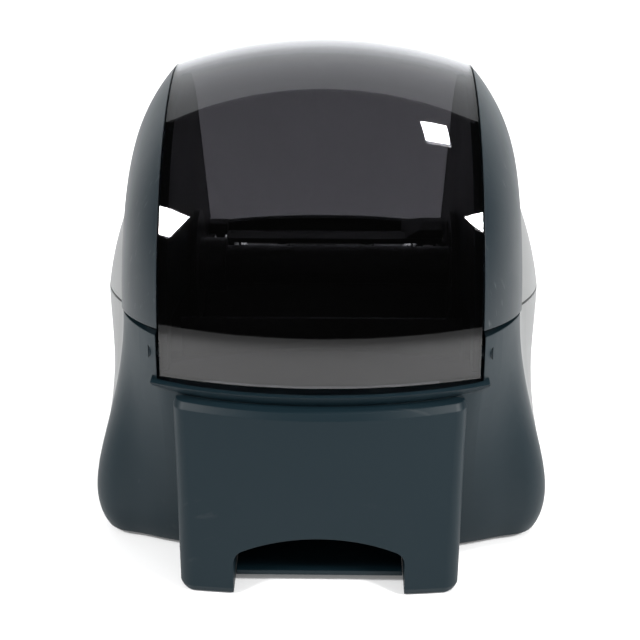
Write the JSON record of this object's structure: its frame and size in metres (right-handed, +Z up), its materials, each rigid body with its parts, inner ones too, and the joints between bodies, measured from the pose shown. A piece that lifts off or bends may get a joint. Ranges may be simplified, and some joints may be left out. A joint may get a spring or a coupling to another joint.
{
  "type": "label printer",
  "caption": "Desktop label maker with a domed lid, smoke tinted window, silver side covers, flared base and a rear hood on two legs over the sockets.",
  "frame": {"origin": "centre of the bounding box on the table plane, under the rubber feet", "axes": "+Z up, +Y to the rear with the hood and sockets, +X to the left seen from behind"},
  "size_m": [0.1352, 0.1854, 0.1331],
  "materials": {
    "black_shell": "fine texture",
    "silver_cover": "satin",
    "smoke_window": "polished, smoke tinted and see through",
    "soft_rubber": "matt",
    "platen_rubber": "matt",
    "inner_black": "satin",
    "spool_plastic": "satin",
    "steel": "plain",
    "zinc_plate": "zinc plated",
    "gear_plastic": "natural",
    "heatsink": "bare",
    "ceramic": "glazed ceramic stand in",
    "heater": "glazed",
    "board_green": "solder mask",
    "chip_black": "moulded",
    "connector_white": "natural",
    "ribbon": "flexible film",
    "button_blue": "satin",
    "light_pipe": "frosted"
  },
  "bodies": {
    "base": {"base_housing": "black_shell", "bottom_plate": "black_shell", "side_cover_left": "silver_cover", "side_cover_right": "silver_cover", "rubber_feet": "soft_rubber", "feed_deck": "inner_black", "roll_tray": "inner_black", "paper_guide": "inner_black", "gear_cover": "inner_black", "idler_post": "steel", "motor_screws": "steel", "frame_screws": "steel", "base_screws": "steel", "board_screws": "steel", "head_springs": "steel", "button_spring": "steel", "tear_bar": "steel", "power_pin": "steel", "frame_plate_left": "zinc_plate", "frame_plate_right": "zinc_plate", "frame_bridge": "zinc_plate", "sensor_bracket": "zinc_plate", "motor_flange": "zinc_plate", "motor_can": "zinc_plate", "platen_bush_left": "gear_plastic", "platen_bush_right": "gear_plastic", "main_board": "board_green", "switch_board": "board_green", "main_chip": "chip_black", "motor_driver": "chip_black", "capacitors": "chip_black", "label_sensor": "chip_black", "tact_switch": "chip_black", "usb_socket": "chip_black", "power_jack": "chip_black", "motor_connector": "connector_white", "head_connector": "connector_white", "head_ribbon": "ribbon", "light_ring": "light_pipe"},
    "lid": {"lid_window": "smoke_window", "lid_frame_left": "black_shell", "lid_frame_right": "black_shell", "lid_cover_left": "silver_cover", "lid_cover_right": "silver_cover", "lid_front_bar": "black_shell"},
    "spool": {"spool_spindle": "spool_plastic"},
    "guide": {"spool_guide": "spool_plastic"},
    "platen": {"platen_shaft": "steel", "platen_roller": "platen_rubber", "platen_gear": "gear_plastic"},
    "idler": {"idler_gear": "gear_plastic"},
    "rotor": {"motor_pinion": "gear_plastic", "motor_shaft": "steel"},
    "print_head": {"head_strip": "ceramic", "heater_line": "heater", "head_heatsink": "heatsink", "head_bracket": "zinc_plate", "head_plug": "connector_white"},
    "lever": {"release_lever": "inner_black"},
    "button": {"feed_button": "button_blue"}
  },
  "joints": [
    {"name": "lid_hinge", "type": "hinge", "parent": "base", "child": "lid", "pos_m": [0, 0.067, 0.062], "axis": [-1, 0, 0], "range_deg": [0, 65]},
    {"name": "spool_spin", "type": "hinge", "parent": "lid", "child": "spool", "pos_m": [0, 0.006, 0.063], "axis": [1, 0, 0], "continuous": true},
    {"name": "guide_slide", "type": "slide", "parent": "spool", "child": "guide", "axis": [-1, 0, 0], "range_m": [0, 0.052]},
    {"name": "platen_spin", "type": "hinge", "parent": "base", "child": "platen", "pos_m": [0, -0.055, 0.0365], "axis": [1, 0, 0], "continuous": true},
    {"name": "idler_spin", "type": "hinge", "parent": "base", "child": "idler", "pos_m": [0, -0.03798, 0.03541], "axis": [1, 0, 0], "continuous": true},
    {"name": "motor_spin", "type": "hinge", "parent": "base", "child": "rotor", "pos_m": [0, -0.036, 0.0215], "axis": [1, 0, 0], "continuous": true},
    {"name": "lever_turn", "type": "hinge", "parent": "base", "child": "lever", "pos_m": [0, -0.0345, 0.038], "axis": [-1, 0, 0], "range_deg": [0, 25]},
    {"name": "head_lift", "type": "hinge", "parent": "base", "child": "print_head", "pos_m": [0, -0.0415, 0.0455], "axis": [-1, 0, 0], "range_deg": [0, 5], "deforming": ["head_springs", "head_ribbon"]},
    {"name": "feed_press", "type": "slide", "parent": "base", "child": "button", "axis": [0, 0.8536, -0.521], "range_m": [0, 0.0008], "stiffness_N_per_m": 300, "deforming": ["button_spring"]}
  ],
  "couplings": [
    {"joint": "idler_spin", "follows": "platen_spin", "ratio": -1.125},
    {"joint": "motor_spin", "follows": "platen_spin", "ratio": 1.5},
    {"joint": "head_lift", "follows": "lever_turn", "ratio": 0.2}
  ]
}
